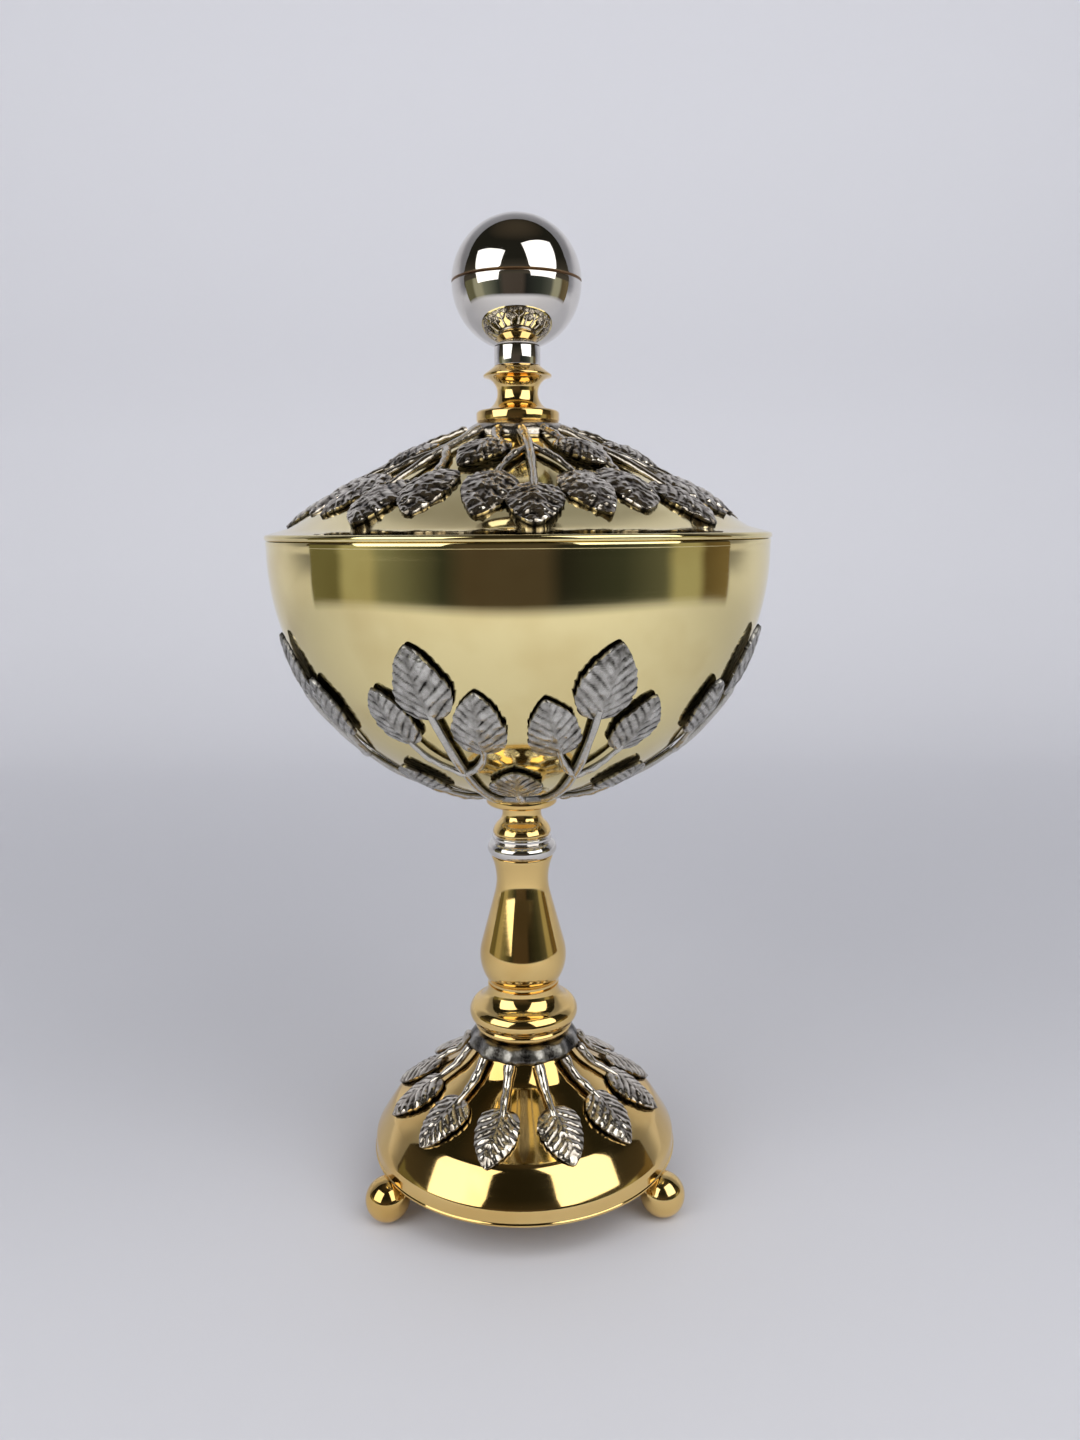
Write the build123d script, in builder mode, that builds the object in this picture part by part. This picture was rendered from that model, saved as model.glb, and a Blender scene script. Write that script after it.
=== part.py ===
from build123d import *
from math import asin, cos, degrees, radians, sin, sqrt
import os

# Lidded standing cup with cast leaves. Millimetres, +Z up, origin on the axis at the ground.
# The front looks along +Y, so the front of the cup faces -Y.

# Sheet, fits and gaps
sheet = 1.2
solder_gap = 0.1
bore_clearance = 0.2
lid_gap = 0.1
lid_play = 0.4
leaf_gap = 0.8

# Ball feet
foot_count = 3
foot_ball_r = 5.9
foot_flat_depth = 0.2
foot_overhang = 0.2
foot_rebate = 0.8

# Base
base_rim_r = 41.7
base_lip_h = 1.1
base_lip_w = 0.9
base_h = 30.1
base_top_r = 12.5
base_shoulder_inset = 6.7
base_shoulder_drop = 19.6

# Leaf rings, clamped between the turned pieces and the sheet
base_ring_h = 2.5
base_ring_top_r = 13.0
base_ring_r = 17.6
cup_ring_h = 1.75
cup_ring_r = 14.0

# Stem, from the bottom up
knop_h = 13.8
knop_r = 14.8
knop_foot_r = 13.2
waist_r = 9.7
baluster_h = 35.2
baluster_r = 12.2
baluster_neck_r = 7.4
baluster_top_r = 8.4
stem_ring_h = 4.6
stem_ring_r = 9.35
bulb_h = 11.6
bulb_r = 8.0
bulb_neck_r = 5.0
disc_r = 9.9
disc_h = 1.3

# Turned details
step = 0.5
knop_band_h = 2.4
knop_belly_z = 5.7
knop_belly_top = 8.3
knop_belly_fall = 1.3
baluster_belly_z = 8.8
baluster_neck_z = 29.6
baluster_collar_h = 2.2
ring_crest = 0.42
bulb_shoulder_h = 4.4
bulb_fall = 1.0
bulb_neck_z = 8.4

# Bowl
bowl_r = 63.0
bowl_flat_r = 9.0
bowl_collar_h = 1.6
bowl_bead_h = 1.15
bowl_bead_w = 0.1

# Lid
lid_overhang = 0.4
lid_edge_h = 1.6
lid_dome_rise = 24.2
lid_flat_r = 9.0
brim_w = 10.9
brim_rise = 1.65
brim_flare_r = 12.0
locating_ring_h = 5.3

# Finial
finial_h = 13.85
finial_flange_r = 10.4
finial_waist_r = 5.1
finial_bead_r = 8.5
finial_flange_h = 3.0
finial_waist_z = 7.4
finial_bead_z = 11.2
finial_collar_r = 5.75
finial_collar_h = 4.65
ball_r = 16.0
ball_seam = 0.2
sleeve_h = 6.0

# Bolts, washers and nuts
tie_r = 3.0
tie_head_r = 7.0
tie_head_h = 1.9
stud_r = 2.5
stud_head_r = 4.4
stud_head_h = 2.5
tie_washer_r = 8.0
tie_nut_r = 5.75
tie_nut_h = 5.0
stud_washer_r = 6.5
stud_nut_r = 4.6
stud_nut_h = 4.0
washer_h = 1.4
bolt_end = 1.8

# Leaves: length and width, and the widths of the stalks
large_leaf = (18.0, 12.6)
side_leaf = (15.0, 11.0)
small_leaf = (14.0, 10.4)
base_leaf = (15.5, 11.6)
leaf_widest = 0.42
stem_w = 2.5
twig_w = 1.9
leaf_thickness = 1.0
stem_thickness = 2.3

# Where the leaves lie: degrees round the axis, and millimetres along a spray
base_leaf_count = 12
base_leaf_start = 15.0
base_leaf_inset = 5.1
spray_count = 8
bowl_spray_start = 22.5
lid_turn = 3.5
bowl_spray_tilt = 48.0
lid_spray_tilt = 34.0
bowl_leaf_y = 11.0
bowl_side_drop = 7.0
bowl_small_drop = 30.0
lid_leaf_inset = 8.3
lid_side_drop = 1.0
lid_small_drop = 17.7
side_leaf_x = 8.4
side_leaf_lean = 16.0
fork_drop = 19.0

# Levels that follow from the sizes above
tie_bore_r = tie_r + bore_clearance
stud_bore_r = stud_r + bore_clearance
base_shoulder_r = base_rim_r - base_shoulder_inset
base_leaf_reach = base_rim_r - base_leaf_inset
lid_rim_r = bowl_r + lid_overhang
brim_inner_r = lid_rim_r - brim_w
lid_dome_r = (brim_inner_r**2 + lid_dome_rise**2) / (2 * lid_dome_rise)
prism_reach = bowl_r
lid_tip_angle = degrees(asin((lid_rim_r - lid_leaf_inset) / lid_dome_r))
lid_leaf_y = lid_dome_r * sin(radians(lid_tip_angle - lid_spray_tilt)) - large_leaf[0]
rim_z = 2 * foot_ball_r - foot_flat_depth - foot_rebate
base_top_z = rim_z + base_h
knop_z = base_top_z + base_ring_h
baluster_z = knop_z + knop_h
stem_ring_z = baluster_z + baluster_h
bulb_z = stem_ring_z + stem_ring_h
bowl_ring_z = bulb_z + bulb_h + disc_h
bowl_z = bowl_ring_z + cup_ring_h
bowl_centre_z = bowl_z + sqrt(bowl_r**2 - bowl_flat_r**2)
bowl_bead_z = bowl_centre_z + bowl_collar_h
bowl_rim_z = bowl_bead_z + bowl_bead_h
lid_z = bowl_rim_z + lid_gap
lid_edge_z = lid_z + lid_edge_h
locating_r = bowl_r - sheet - lid_play
brim_z = lid_edge_z + brim_rise
lid_centre_z = brim_z - sqrt(lid_dome_r**2 - brim_inner_r**2)
lid_top_z = lid_centre_z + sqrt(lid_dome_r**2 - lid_flat_r**2)
finial_z = lid_top_z + cup_ring_h
collar_z = finial_z + finial_h
ball_z = collar_z + finial_collar_h + sqrt(ball_r**2 - finial_collar_r**2)
cone_slope = base_shoulder_drop / (base_shoulder_r - base_top_r)
cone_tilt = degrees(asin(cone_slope / sqrt(1 + cone_slope**2)))

os.makedirs("parts", exist_ok=True)


def leaf_face(size):
    """An ovate leaf with its base at the origin and its tip along +Y."""
    length, width = size
    widest = (width / 2, length * leaf_widest)
    with BuildSketch() as leaf:
        with BuildLine():
            TangentArc(widest, (0, 0), tangent=(0, -1))
            TangentArc(widest, (0, length), tangent=(0, 1))
            mirror(about=Plane.YZ)
        make_face()
    return leaf.sketch


def stalked_leaf_face(size, leaf_y, root_y, width):
    """One leaf on a straight stalk that starts at root_y."""
    with BuildSketch() as leaf:
        with BuildLine():
            Line((0, root_y), (0, leaf_y + width))
        trace(line_width=width)
        with Locations((0, leaf_y)):
            add(leaf_face(size))
    return leaf.sketch


def spray_face(leaf_y, side_y):
    """A large leaf on a stem, with a twig and a smaller leaf on each side."""
    with BuildSketch() as spray:
        add(stalked_leaf_face(large_leaf, leaf_y, leaf_y - prism_reach, stem_w))
        for side in (-1, 1):
            lean = radians(side * side_leaf_lean)
            twig_end = (side * side_leaf_x, side_y)
            with BuildLine():
                TangentArc(twig_end, (0, leaf_y - fork_drop), tangent=(-sin(lean), -cos(lean)))
            trace(line_width=twig_w)
            with Locations((twig_end[0] - twig_w * sin(lean) / 2, side_y - twig_w * cos(lean) / 2)):
                add(leaf_face(side_leaf), rotation=-side * side_leaf_lean)
    return spray.sketch


def leaf_plane(radius, centre_z, tilt, up):
    """Plane touching a sphere at tilt degrees from its pole, with +Y running away from the pole."""
    normal = (sin(radians(tilt)), 0, up * cos(radians(tilt)))
    origin = (radius * normal[0], 0, centre_z + radius * normal[2])
    return Plane(origin=origin, x_dir=(0, -up, 0), z_dir=normal)


def sector_plane(half_angle):
    """Upright plane through the axis, half_angle degrees clockwise of +X."""
    angle = radians(half_angle)
    return Plane(origin=(0, 0, 0), x_dir=(cos(angle), -sin(angle), 0), z_dir=(-sin(angle), -cos(angle), 0))


def save(part, name):
    part.label = name
    export_step(part, f"parts/{name}.step")


# Ball feet, rebated to take the rim of the base and flat underneath
for index in range(foot_count):
    angle = 90 + index * 360 / foot_count
    foot_x = base_rim_r + foot_overhang
    with BuildPart() as foot:
        with Locations((foot_x, 0, foot_ball_r - foot_flat_depth)):
            Sphere(foot_ball_r)
        split(bisect_by=Plane.XY, keep=Keep.TOP)
        with Locations((0, 0, rim_z)):
            Cylinder(
                base_rim_r + solder_gap,
                2 * foot_ball_r,
                align=(Align.CENTER, Align.CENTER, Align.MIN),
                mode=Mode.SUBTRACT,
            )
    with BuildPart() as foot_ball:
        add(foot.part, rotation=(0, 0, angle))
    save(foot_ball.part, f"foot_ball_{index + 1}")

# Base: spun cone with a round shoulder, standing on a rolled lip
with BuildPart() as base_dome:
    with BuildSketch(Plane.XZ) as base_section:
        with BuildLine():
            flat = Line((tie_bore_r, base_top_z), (base_top_r, base_top_z))
            cone = Line(flat @ 1, (base_shoulder_r, base_top_z - base_shoulder_drop))
            TangentArc(cone @ 1, (base_rim_r - base_lip_w, rim_z + base_lip_h / 2), tangent=cone % 1)
            offset(amount=sheet, side=Side.RIGHT)
        make_face()
        with Locations((base_rim_r, rim_z)):
            Rectangle(base_lip_w + 2 * sheet, base_lip_h, align=(Align.MAX, Align.MIN))
        fillet(base_section.vertices().sort_by(Axis.X)[-2:], base_lip_h / 2.5)
    revolve(axis=Axis.Z)
save(base_dome.part, "base_dome")

# Ring that carries the base leaves: a flat plate with a skirt lying along the cone
with BuildPart() as base_leaf_ring:
    skirt_gap = solder_gap / cos(radians(cone_tilt))
    with BuildSketch(Plane.XZ):
        with BuildLine():
            Polyline(
                (tie_bore_r, base_top_z),
                (base_top_r + skirt_gap / cone_slope, base_top_z),
                (base_ring_r, base_top_z + skirt_gap - cone_slope * (base_ring_r - base_top_r)),
                (base_ring_r, knop_z - cone_slope * (base_ring_r - base_ring_top_r)),
                (base_ring_top_r, knop_z),
                (tie_bore_r, knop_z),
                close=True,
            )
        make_face()
    revolve(axis=Axis.Z)
save(base_leaf_ring.part, "base_leaf_ring")

# Base leaves, each on a stalk that starts at the ring and lies above the cone
with BuildPart() as base_leaf_band:
    with BuildSketch(sector_plane(45)):
        with BuildLine():
            band_start = base_ring_r + solder_gap
            band_end = base_leaf_reach + base_leaf[0] / 4
            cone_offset = leaf_gap / cos(radians(cone_tilt))
            Polyline(
                (band_start, base_top_z + cone_offset - cone_slope * (band_start - base_top_r)),
                (band_end, base_top_z + cone_offset - cone_slope * (band_end - base_top_r)),
            )
            offset(amount=leaf_thickness, side=Side.LEFT)
        make_face()
    revolve(axis=Axis.Z, revolution_arc=90)

with BuildPart() as base_leaf_solid:
    tip_z = base_top_z - cone_slope * (base_leaf_reach - base_top_r)
    tip_normal = (sin(radians(cone_tilt)), 0, cos(radians(cone_tilt)))
    with BuildSketch(Plane(origin=(base_leaf_reach, 0, tip_z), x_dir=(0, -1, 0), z_dir=tip_normal)):
        add(stalked_leaf_face(base_leaf, -base_leaf[0], -prism_reach / 2, stem_w))
    extrude(amount=base_leaf[0], both=True)
    add(base_leaf_band.part, mode=Mode.INTERSECT)

for index in range(base_leaf_count):
    with BuildPart() as base_leaf_piece:
        add(base_leaf_solid.part, rotation=(0, 0, base_leaf_start + index * 360 / base_leaf_count))
    save(base_leaf_piece.part, f"base_leaf_{index + 1}")

# Knop: stepped foot, round belly and a cove up to the waist
with BuildPart() as stem_knop:
    with BuildSketch(Plane.XZ):
        with BuildLine():
            foot_line = Polyline(
                (tie_bore_r, knop_z),
                (knop_foot_r - step, knop_z),
                (knop_foot_r, knop_z + step),
                (knop_foot_r, knop_z + knop_band_h),
                (knop_foot_r - step, knop_z + knop_band_h + step),
                (knop_foot_r + step, knop_z + knop_band_h + 2 * step),
            )
            belly_end = (knop_r - knop_belly_fall, knop_z + knop_belly_top)
            ThreePointArc(foot_line @ 1, (knop_r, knop_z + knop_belly_z), belly_end)
            waist = Line((waist_r, baluster_z), (waist_r, baluster_z - step))
            TangentArc(waist @ 1, belly_end, tangent=(0, -1))
            Polyline(waist @ 0, (tie_bore_r, baluster_z), foot_line @ 0)
        make_face()
    revolve(axis=Axis.Z)
save(stem_knop.part, "stem_knop")

# Baluster: pear-shaped, with a grooved waist below and a small collar above
with BuildPart() as stem_baluster:
    with BuildSketch(Plane.XZ):
        with BuildLine():
            foot_line = Polyline(
                (tie_bore_r, baluster_z),
                (waist_r - step, baluster_z),
                (waist_r - step, baluster_z + step),
                (waist_r, baluster_z + step),
                (waist_r, baluster_z + 2 * step),
            )
            neck_z = baluster_z + baluster_neck_z
            Spline(
                foot_line @ 1,
                (baluster_r, baluster_z + baluster_belly_z),
                (baluster_neck_r, neck_z),
                tangents=((1, 1), (0, 1)),
            )
            collar_foot_z = stem_ring_z - baluster_collar_h
            RadiusArc((baluster_neck_r, neck_z), (baluster_top_r - step, collar_foot_z), baluster_r)
            Polyline(
                (baluster_top_r - step, collar_foot_z),
                (baluster_top_r, collar_foot_z),
                (baluster_top_r, stem_ring_z),
                (tie_bore_r, stem_ring_z),
                foot_line @ 0,
            )
        make_face()
    revolve(axis=Axis.Z)
save(stem_baluster.part, "stem_baluster")

# Silver ring: a bead between the baluster and the bulb
with BuildPart() as stem_ring:
    with BuildSketch(Plane.XZ):
        with BuildLine():
            bead = ThreePointArc(
                (stem_ring_r - 3 * step, stem_ring_z),
                (stem_ring_r, stem_ring_z + stem_ring_h * ring_crest),
                (stem_ring_r - 2 * step, bulb_z - step),
            )
            Polyline(
                bead @ 1,
                (stem_ring_r - 4 * step, bulb_z - step),
                (stem_ring_r - 4 * step, bulb_z),
                (tie_bore_r, bulb_z),
                (tie_bore_r, stem_ring_z),
                bead @ 0,
            )
        make_face()
    revolve(axis=Axis.Z)
save(stem_ring.part, "stem_ring")

# Bulb, neck and the disc that carries the bowl, turned in one piece
with BuildPart() as stem_bulb:
    with BuildSketch(Plane.XZ):
        with BuildLine():
            disc_z = bulb_z + bulb_h
            foot_line = Polyline(
                (tie_bore_r, bulb_z), (bulb_r - step, bulb_z), (bulb_r, bulb_z + step)
            )
            shoulder = TangentArc(
                foot_line @ 1, (bulb_r - bulb_fall, bulb_z + bulb_shoulder_h), tangent=(0, 1)
            )
            neck = Line((bulb_neck_r, disc_z - 2 * step), (bulb_neck_r, bulb_z + bulb_neck_z))
            TangentArc(neck @ 1, shoulder @ 1, tangent=(0, -1))
            Polyline(
                neck @ 0,
                (bulb_neck_r + 2 * step, disc_z),
                (disc_r - step, disc_z),
                (disc_r, disc_z + step),
                (disc_r, bowl_ring_z),
                (tie_bore_r, bowl_ring_z),
                foot_line @ 0,
            )
        make_face()
    revolve(axis=Axis.Z)
save(stem_bulb.part, "stem_bulb")

# Bowl: a spun hemisphere on a small flat, with a short upright wall and a rolled rim
with BuildPart() as bowl:
    with BuildSketch(Plane.XZ):
        with BuildLine():
            flat = Line((tie_bore_r, bowl_z), (bowl_flat_r, bowl_z))
            flat_angle = degrees(asin(bowl_flat_r / bowl_r))
            wall = CenterArc((0, bowl_centre_z), bowl_r, flat_angle - 90, 90 - flat_angle)
            Line(wall @ 1, (bowl_r, bowl_rim_z))
            offset(amount=sheet, side=Side.LEFT)
        make_face()
    revolve(axis=Axis.Z)
    with BuildSketch(Plane.XY.offset(bowl_bead_z)):
        Circle(bowl_r + bowl_bead_w)
        Circle(bowl_r - sheet / 2, mode=Mode.SUBTRACT)
    extrude(amount=bowl_bead_h)
save(bowl.part, "bowl")

# Band in which the leaves under the bowl lie: thick near the ring, thin and lifted at the tips
with BuildPart() as bowl_leaf_band:
    with BuildSketch(sector_plane(45)):
        with BuildLine():
            band_start = cup_ring_r - stem_w
            inner_r = bowl_r + leaf_gap
            inner_angle = degrees(asin(band_start / inner_r))
            inner = CenterArc((0, bowl_centre_z), inner_r, inner_angle - 90, 90 - inner_angle)
            outer_r = bowl_r + leaf_gap + leaf_thickness
            outer_centre_z = bowl_centre_z - (stem_thickness - leaf_thickness)
            outer_angle = degrees(asin(band_start / outer_r))
            outer = CenterArc((0, outer_centre_z), outer_r, outer_angle - 90, 90 - outer_angle)
            Line(inner @ 0, outer @ 0)
            Line(inner @ 1, outer @ 1)
        make_face()
    revolve(axis=Axis.Z, revolution_arc=90)

bowl_leaf_plane = leaf_plane(bowl_r, bowl_centre_z, bowl_spray_tilt, -1)
with BuildPart() as bowl_spray_solid:
    with BuildSketch(bowl_leaf_plane):
        add(spray_face(bowl_leaf_y, bowl_leaf_y - bowl_side_drop))
    extrude(amount=prism_reach / 2, both=True)
    add(bowl_leaf_band.part, mode=Mode.INTERSECT)
    with Locations((0, 0, bowl_z)):
        Cylinder(cup_ring_r + solder_gap, prism_reach, mode=Mode.SUBTRACT)

for index in range(spray_count):
    with BuildPart() as bowl_spray:
        add(bowl_spray_solid.part, rotation=(0, 0, bowl_spray_start + index * 360 / spray_count))
    save(bowl_spray.part, f"bowl_spray_{index + 1}")

# Ring under the bowl, cast with a small leaf between each two sprays
with BuildPart() as bowl_small_leaf:
    with BuildSketch(bowl_leaf_plane):
        add(stalked_leaf_face(small_leaf, bowl_leaf_y - bowl_small_drop, -prism_reach, stem_w))
    extrude(amount=prism_reach / 2, both=True)
    add(bowl_leaf_band.part, mode=Mode.INTERSECT)

with BuildPart() as bowl_leaf_ring:
    with BuildSketch(Plane.XY.offset(bowl_ring_z)):
        Circle(cup_ring_r)
        Circle(tie_bore_r, mode=Mode.SUBTRACT)
    extrude(amount=cup_ring_h)
    for index in range(spray_count):
        add(bowl_small_leaf.part, rotation=(0, 0, index * 360 / spray_count))
save(bowl_leaf_ring.part, "bowl_leaf_ring")

# Tie bolt: its low head lies in the bowl, its nut and washer under the top of the base
tie_washer_z = base_top_z - sheet - washer_h
tie_nut_z = tie_washer_z - tie_nut_h
with BuildPart() as tie_bolt:
    with BuildSketch(Plane.XY.offset(tie_nut_z - bolt_end)):
        Circle(tie_r)
    extrude(amount=bowl_z + sheet - tie_nut_z + bolt_end)
    with BuildSketch(Plane.XY.offset(bowl_z + sheet)):
        Circle(tie_head_r)
    extrude(amount=tie_head_h)
    fillet(tie_bolt.edges().sort_by(Axis.Z)[-1], tie_head_h / 2)
save(tie_bolt.part, "tie_bolt")

with BuildPart() as tie_washer:
    with BuildSketch(Plane.XY.offset(tie_washer_z)):
        Circle(tie_washer_r)
        Circle(tie_bore_r, mode=Mode.SUBTRACT)
    extrude(amount=washer_h)
save(tie_washer.part, "tie_washer")

with BuildPart() as tie_nut:
    with BuildSketch(Plane.XY.offset(tie_nut_z)):
        RegularPolygon(tie_nut_r, 6)
        Circle(tie_r + solder_gap, mode=Mode.SUBTRACT)
    extrude(amount=tie_nut_h)
save(tie_nut.part, "tie_nut")

# Section line of the lid's outside: flat top, dome and a nearly flat brim
with BuildLine() as lid_line:
    flat_angle = degrees(asin(lid_flat_r / lid_dome_r))
    brim_angle = degrees(asin(brim_inner_r / lid_dome_r))
    Line((stud_bore_r, lid_top_z), (lid_flat_r, lid_top_z))
    dome = CenterArc((0, lid_centre_z), lid_dome_r, 90 - flat_angle, flat_angle - brim_angle)
    Line(dome @ 1, (lid_rim_r - lid_edge_h / 2, lid_edge_z))
    fillet(lid_line.vertices().sort_by_distance(dome @ 1)[0], brim_flare_r)

# Lid: spun from sheet, with a rolled edge that is flat underneath
with BuildPart() as lid_dome:
    with BuildSketch(Plane.XZ):
        with BuildLine():
            add(lid_line.line)
            offset(amount=sheet, side=Side.RIGHT)
        make_face()
    revolve(axis=Axis.Z)
    with BuildSketch(Plane.XZ):
        with BuildLine():
            edge_top = (lid_rim_r - lid_edge_h / 2, lid_edge_z)
            edge_foot = (lid_rim_r - lid_edge_h / 2, lid_z)
            ThreePointArc(edge_foot, (lid_rim_r, lid_z + lid_edge_h / 2), edge_top)
            Polyline(edge_top, (locating_r - sheet, lid_edge_z), (locating_r - sheet, lid_z), edge_foot)
        make_face()
    revolve(axis=Axis.Z)
save(lid_dome.part, "lid_dome")

# Locating ring, soldered under the brim, free in the mouth of the bowl
with BuildPart() as lid_locating_ring:
    with BuildSketch(Plane.XY.offset(lid_z - locating_ring_h)):
        Circle(locating_r)
        Circle(locating_r - sheet, mode=Mode.SUBTRACT)
    extrude(amount=locating_ring_h)
save(lid_locating_ring.part, "lid_locating_ring")

# Band in which the leaves on the lid lie
with BuildPart() as lid_leaf_band:
    with BuildSketch(sector_plane(45)):
        with BuildLine():
            add(lid_line.line)
            offset(amount=leaf_gap + (leaf_thickness + stem_thickness) / 2, side=Side.LEFT)
        make_face()
        with BuildLine():
            add(lid_line.line)
            offset(amount=leaf_gap, side=Side.LEFT)
        make_face(mode=Mode.SUBTRACT)
    revolve(axis=Axis.Z, revolution_arc=90)

lid_leaf_plane = leaf_plane(lid_dome_r, lid_centre_z, lid_spray_tilt, 1)
with BuildPart() as lid_spray_solid:
    with BuildSketch(lid_leaf_plane):
        add(spray_face(lid_leaf_y, lid_leaf_y - lid_side_drop))
    extrude(amount=prism_reach / 2, both=True)
    add(lid_leaf_band.part, mode=Mode.INTERSECT)
    with Locations((0, 0, lid_top_z)):
        Cylinder(cup_ring_r + solder_gap, prism_reach, mode=Mode.SUBTRACT)

for index in range(spray_count):
    with BuildPart() as lid_spray:
        add(lid_spray_solid.part, rotation=(0, 0, lid_turn + index * 360 / spray_count))
    save(lid_spray.part, f"lid_spray_{index + 1}")

# Ring under the finial, cast with a small leaf between each two sprays
with BuildPart() as lid_small_leaf:
    with BuildSketch(lid_leaf_plane):
        add(stalked_leaf_face(small_leaf, lid_leaf_y - lid_small_drop, -prism_reach, stem_w))
    extrude(amount=prism_reach / 2, both=True)
    add(lid_leaf_band.part, mode=Mode.INTERSECT)
    with Locations((0, 0, lid_top_z)):
        Cylinder(cup_ring_r - stem_w, prism_reach, mode=Mode.SUBTRACT)

with BuildPart() as lid_leaf_ring:
    with BuildSketch(Plane.XY.offset(lid_top_z)):
        Circle(cup_ring_r)
        Circle(stud_bore_r, mode=Mode.SUBTRACT)
    extrude(amount=cup_ring_h)
    for index in range(spray_count):
        add(lid_small_leaf.part, rotation=(0, 0, lid_turn + (index + 0.5) * 360 / spray_count))
save(lid_leaf_ring.part, "lid_leaf_ring")

# Finial neck: flange, waist and a sharp bead under the collar
with BuildPart() as finial_neck:
    with BuildSketch(Plane.XZ):
        with BuildLine():
            flange_top = (finial_flange_r - step, finial_z + finial_flange_h)
            foot_line = Polyline(
                (stud_bore_r, finial_z),
                (finial_flange_r - step, finial_z),
                (finial_flange_r, finial_z + step),
                (finial_flange_r, finial_z + finial_flange_h - step),
                flange_top,
            )
            waist_z = finial_z + finial_waist_z
            bead_z = finial_z + finial_bead_z
            TangentArc((finial_waist_r, waist_z), flange_top, tangent=(0, -1))
            TangentArc((finial_waist_r, waist_z), (finial_bead_r, bead_z), tangent=(0, 1))
            Polyline(
                (finial_bead_r, bead_z),
                (finial_bead_r, bead_z + step),
                (finial_collar_r + step, collar_z - step),
                (finial_collar_r, collar_z),
                (stud_bore_r, collar_z),
                foot_line @ 0,
            )
        make_face()
    revolve(axis=Axis.Z)
save(finial_neck.part, "finial_neck")

# Collar: a short tube hollowed on top to seat the ball
with BuildPart() as finial_collar:
    with BuildSketch(Plane.XY.offset(collar_z)):
        Circle(finial_collar_r)
        Circle(stud_bore_r, mode=Mode.SUBTRACT)
    extrude(amount=finial_collar_h)
    with Locations((0, 0, ball_z)):
        Sphere(ball_r + solder_gap, mode=Mode.SUBTRACT)
save(finial_collar.part, "finial_collar")

# Ball: two hollow halves that meet at a fine seam
for name, keep in (("ball_lower", Keep.BOTTOM), ("ball_upper", Keep.TOP)):
    with BuildPart() as ball_half:
        with Locations((0, 0, ball_z)):
            Sphere(ball_r)
            Sphere(ball_r - sheet, mode=Mode.SUBTRACT)
        split(bisect_by=Plane.XY.offset(ball_z), keep=keep)
        with Locations((0, 0, ball_z - ball_r)):
            Cylinder(stud_bore_r, ball_r, mode=Mode.SUBTRACT)
        chamfer(ball_half.edges().filter_by(GeomType.CIRCLE).sort_by(SortBy.RADIUS)[-1], ball_seam)
    save(ball_half.part, name)

# Sleeve soldered inside the seam
with BuildPart() as ball_sleeve:
    sleeve_r = sqrt((ball_r - sheet) ** 2 - (sleeve_h / 2) ** 2) - solder_gap
    with BuildSketch(Plane.XY.offset(ball_z - sleeve_h / 2)):
        Circle(sleeve_r)
        Circle(sleeve_r - sheet, mode=Mode.SUBTRACT)
    extrude(amount=sleeve_h)
save(ball_sleeve.part, "ball_sleeve")

# Stud: its head lies in the ball, its nut and washer under the lid
stud_washer_z = lid_top_z - sheet - washer_h
stud_nut_z = stud_washer_z - stud_nut_h
stud_head_z = ball_z - sqrt((ball_r - sheet) ** 2 - stud_head_r**2) + solder_gap
with BuildPart() as finial_stud:
    with BuildSketch(Plane.XY.offset(stud_nut_z - bolt_end)):
        Circle(stud_r)
    extrude(amount=stud_head_z - stud_nut_z + bolt_end)
    with BuildSketch(Plane.XY.offset(stud_head_z)):
        Circle(stud_head_r)
    extrude(amount=stud_head_h)
save(finial_stud.part, "finial_stud")

with BuildPart() as finial_washer:
    with BuildSketch(Plane.XY.offset(stud_washer_z)):
        Circle(stud_washer_r)
        Circle(stud_bore_r, mode=Mode.SUBTRACT)
    extrude(amount=washer_h)
save(finial_washer.part, "finial_washer")

with BuildPart() as finial_nut:
    with BuildSketch(Plane.XY.offset(stud_nut_z)):
        RegularPolygon(stud_nut_r, 6)
        Circle(stud_r + solder_gap, mode=Mode.SUBTRACT)
    extrude(amount=stud_nut_h)
save(finial_nut.part, "finial_nut")
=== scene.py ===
import random
from math import atan2, ceil, cos, exp, hypot, pi, radians, sin, sqrt, tan

import bmesh
import bpy
from mathutils import Matrix, Vector, noise


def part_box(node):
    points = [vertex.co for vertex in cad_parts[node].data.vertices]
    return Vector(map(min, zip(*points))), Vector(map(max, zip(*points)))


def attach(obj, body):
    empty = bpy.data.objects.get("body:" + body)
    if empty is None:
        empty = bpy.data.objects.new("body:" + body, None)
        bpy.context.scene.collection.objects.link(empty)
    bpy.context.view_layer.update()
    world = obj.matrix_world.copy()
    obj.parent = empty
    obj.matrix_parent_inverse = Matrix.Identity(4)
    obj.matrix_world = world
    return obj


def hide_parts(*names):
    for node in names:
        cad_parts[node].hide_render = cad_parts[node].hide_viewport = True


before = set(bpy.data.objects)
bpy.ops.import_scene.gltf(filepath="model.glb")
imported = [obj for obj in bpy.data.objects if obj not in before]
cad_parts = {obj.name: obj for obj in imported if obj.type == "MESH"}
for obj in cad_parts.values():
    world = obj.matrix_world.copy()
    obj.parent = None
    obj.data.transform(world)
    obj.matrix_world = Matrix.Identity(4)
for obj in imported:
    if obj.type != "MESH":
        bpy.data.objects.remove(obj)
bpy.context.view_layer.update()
mm = 0.001  # the outlines below are in millimetres, as on a turner's drawing
sharpFrom = {"turned": 32, "cast": 60}  # degrees between two faces from which their edge is sharp


# Small helpers

def toLinear(hexColour):
    parts = [int(hexColour[i:i + 2], 16) / 255 for i in (1, 3, 5)]
    return [c / 12.92 if c <= 0.04045 else ((c + 0.055) / 1.055) ** 2.4 for c in parts] + [1.0]


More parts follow.
